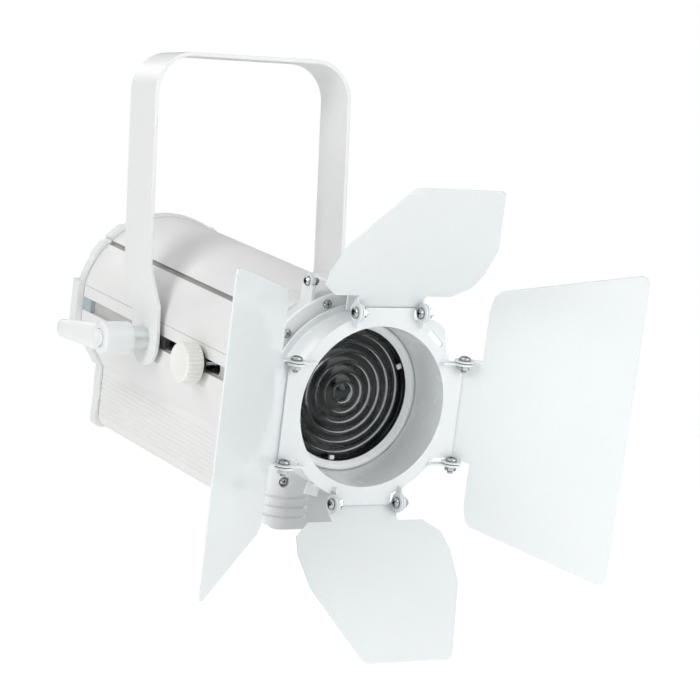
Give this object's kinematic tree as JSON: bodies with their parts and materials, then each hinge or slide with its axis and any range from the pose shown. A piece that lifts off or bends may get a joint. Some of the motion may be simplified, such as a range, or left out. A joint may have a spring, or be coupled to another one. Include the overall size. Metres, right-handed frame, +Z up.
{
  "type": "fresnel spotlight",
  "caption": "Small LED Fresnel spotlight: arch-topped housing in a bent yoke with clamp lever, sliding zoom, stepped lens and rotating barn door with folding leaves.",
  "frame": {"origin": "centre of the hanging hole, on the top face of the yoke", "axes": "+Z up along the yoke and out of the hanging hole, +X the way the beam leaves when the housing is level, +Y away from the clamp lever"},
  "size_m": [0.4636, 0.3222, 0.4065],
  "materials": {
    "yoke_paint": "satin white powder coat",
    "spacer_plastic": "black nylon",
    "lever_plastic": "white moulded plastic",
    "bright_steel": "zinc-plated steel",
    "housing_paint": "fine-textured white powder coat",
    "cap_paint": "white-painted die casting",
    "plug_plastic": "blue-grey plastic",
    "lens_glass": "stepped borosilicate glass",
    "gasket_rubber": "black silicone",
    "ring_black": "black anodised",
    "door_paint": "semi-gloss white powder coat",
    "plate_alloy": "bare aluminium sheet",
    "knob_plastic": "slightly warm white plastic",
    "sink_alloy": "die-cast aluminium",
    "board_white": "white solder mask on aluminium",
    "phosphor": "yellow phosphor",
    "mirror_alloy": "polished metal",
    "fan_plastic": "black plastic",
    "board_green": "green solder mask",
    "component_black": "black component cases",
    "cable_rubber": "black sleeve",
    "window_black": "tinted clear plastic",
    "key_rubber": "dark grey rubber",
    "socket_plastic": "dark plastic",
    "socket_metal": "nickel-plated shell",
    "leaf_paint": "semi-gloss white powder coat"
  },
  "bodies": {
    "yoke_frame": {"yoke": "yoke_paint", "pivot_spacers": "spacer_plastic"},
    "clamp": {"clamp_stud": "bright_steel"},
    "lever_handle": {"clamp_lever": "lever_plastic"},
    "lever_key": {"lever_button": "lever_plastic"},
    "housing": {"housing_shell": "housing_paint", "front_cap": "cap_paint", "rear_cap": "cap_paint", "rear_panel": "housing_paint", "channel_nuts": "bright_steel", "channel_plugs": "plug_plastic", "far_pivot_screw": "bright_steel", "front_cap_screws": "bright_steel", "rear_cap_screws": "bright_steel", "lens_tube": "cap_paint", "lens": "lens_glass", "lens_gasket": "gasket_rubber", "lens_ring": "ring_black", "lens_clips": "door_paint", "tube_screws": "bright_steel", "accessory_claws": "door_paint", "latch_screws": "bright_steel", "front_bulkhead": "plate_alloy", "rear_bulkhead": "plate_alloy", "guide_rods": "bright_steel", "driver_board": "board_green", "driver_parts": "component_black", "panel_cable": "cable_rubber", "display_window": "window_black", "power_in": "socket_plastic", "power_out": "socket_plastic", "data_in": "socket_metal", "data_out": "socket_metal", "fuse_holder": "spacer_plastic", "safety_eye": "bright_steel"},
    "latch": {"top_latch": "door_paint"},
    "carriage": {"zoom_carriage": "plate_alloy", "zoom_stud": "bright_steel", "zoom_washer": "spacer_plastic", "heat_sink": "sink_alloy", "led_board": "board_white", "led_emitter": "phosphor", "reflector": "mirror_alloy", "fan_frame": "fan_plastic"},
    "zoom_grip": {"zoom_knob": "knob_plastic"},
    "fan_wheel": {"fan_rotor": "fan_plastic"},
    "key_1": {"menu_button_1": "key_rubber"},
    "key_2": {"menu_button_2": "key_rubber"},
    "key_3": {"menu_button_3": "key_rubber"},
    "key_4": {"menu_button_4": "key_rubber"},
    "door": {"door_ring": "door_paint", "hinge_screws": "bright_steel", "hinge_washers": "bright_steel", "hinge_nuts": "bright_steel"},
    "door_top": {"top_leaf": "leaf_paint"},
    "door_bottom": {"bottom_leaf": "leaf_paint"},
    "door_left": {"left_leaf": "leaf_paint"},
    "door_right": {"right_leaf": "leaf_paint"}
  },
  "joints": [
    {"name": "tilt", "type": "hinge", "parent": "yoke_frame", "child": "housing", "pos_m": [0, 0, -0.2075], "axis": [0, 1, 0], "range_deg": [-34, 100]},
    {"name": "clamp_turn", "type": "hinge", "parent": "yoke_frame", "child": "clamp", "pos_m": [0, 0, -0.2075], "axis": [0, 1, 0], "range_deg": [-120, 120]},
    {"name": "lever_index", "type": "hinge", "parent": "clamp", "child": "lever_handle", "pos_m": [0, 0, -0.2075], "axis": [0, 1, 0], "range_deg": [-180, 180]},
    {"name": "lever_button_press", "type": "slide", "parent": "lever_handle", "child": "lever_key", "axis": [0, 1, 0], "range_m": [0, 0.0025]},
    {"name": "zoom_slide", "type": "slide", "parent": "housing", "child": "carriage", "axis": [0.9877, 0, -0.1564], "range_m": [-0.037, 0.015]},
    {"name": "zoom_knob_turn", "type": "hinge", "parent": "carriage", "child": "zoom_grip", "pos_m": [0.07605, 0, -0.21954], "axis": [0, -1, 0], "range_deg": [-180, 180]},
    {"name": "fan_spin", "type": "hinge", "parent": "carriage", "child": "fan_wheel", "pos_m": [0, 0, -0.2075], "axis": [0.9877, 0, -0.1564], "continuous": true},
    {"name": "latch_lift", "type": "hinge", "parent": "housing", "child": "latch", "pos_m": [0.16818, 0, -0.15567], "axis": [0, -1, 0], "range_deg": [0, 80]},
    {"name": "door_turn", "type": "hinge", "parent": "housing", "child": "door", "pos_m": [0, 0, -0.2075], "axis": [0.9877, 0, -0.1564], "range_deg": [-180, 180]},
    {"name": "top_leaf_fold", "type": "hinge", "parent": "door", "child": "door_top", "pos_m": [0.2177, 0, -0.17414], "axis": [0, -1, 0], "range_deg": [-82, 38]},
    {"name": "bottom_leaf_fold", "type": "hinge", "parent": "door", "child": "door_bottom", "pos_m": [0.19674, 0, -0.3065], "axis": [0, 1, 0], "range_deg": [-75, 45]},
    {"name": "left_leaf_fold", "type": "hinge", "parent": "door", "child": "door_left", "pos_m": [0.20722, 0.067, -0.24032], "axis": [0.1564, 0, 0.9877], "range_deg": [-47, 41]},
    {"name": "right_leaf_fold", "type": "hinge", "parent": "door", "child": "door_right", "pos_m": [0.20722, -0.067, -0.24032], "axis": [-0.1564, 0, -0.9877], "range_deg": [-47, 41]},
    {"name": "key_1_press", "type": "slide", "parent": "housing", "child": "key_1", "axis": [0.9877, 0, -0.1564], "range_m": [0, 0.0015]},
    {"name": "key_2_press", "type": "slide", "parent": "housing", "child": "key_2", "axis": [0.9877, 0, -0.1564], "range_m": [0, 0.0015]},
    {"name": "key_3_press", "type": "slide", "parent": "housing", "child": "key_3", "axis": [0.9877, 0, -0.1564], "range_m": [0, 0.0015]},
    {"name": "key_4_press", "type": "slide", "parent": "housing", "child": "key_4", "axis": [0.9877, 0, -0.1564], "range_m": [0, 0.0015]}
  ]
}
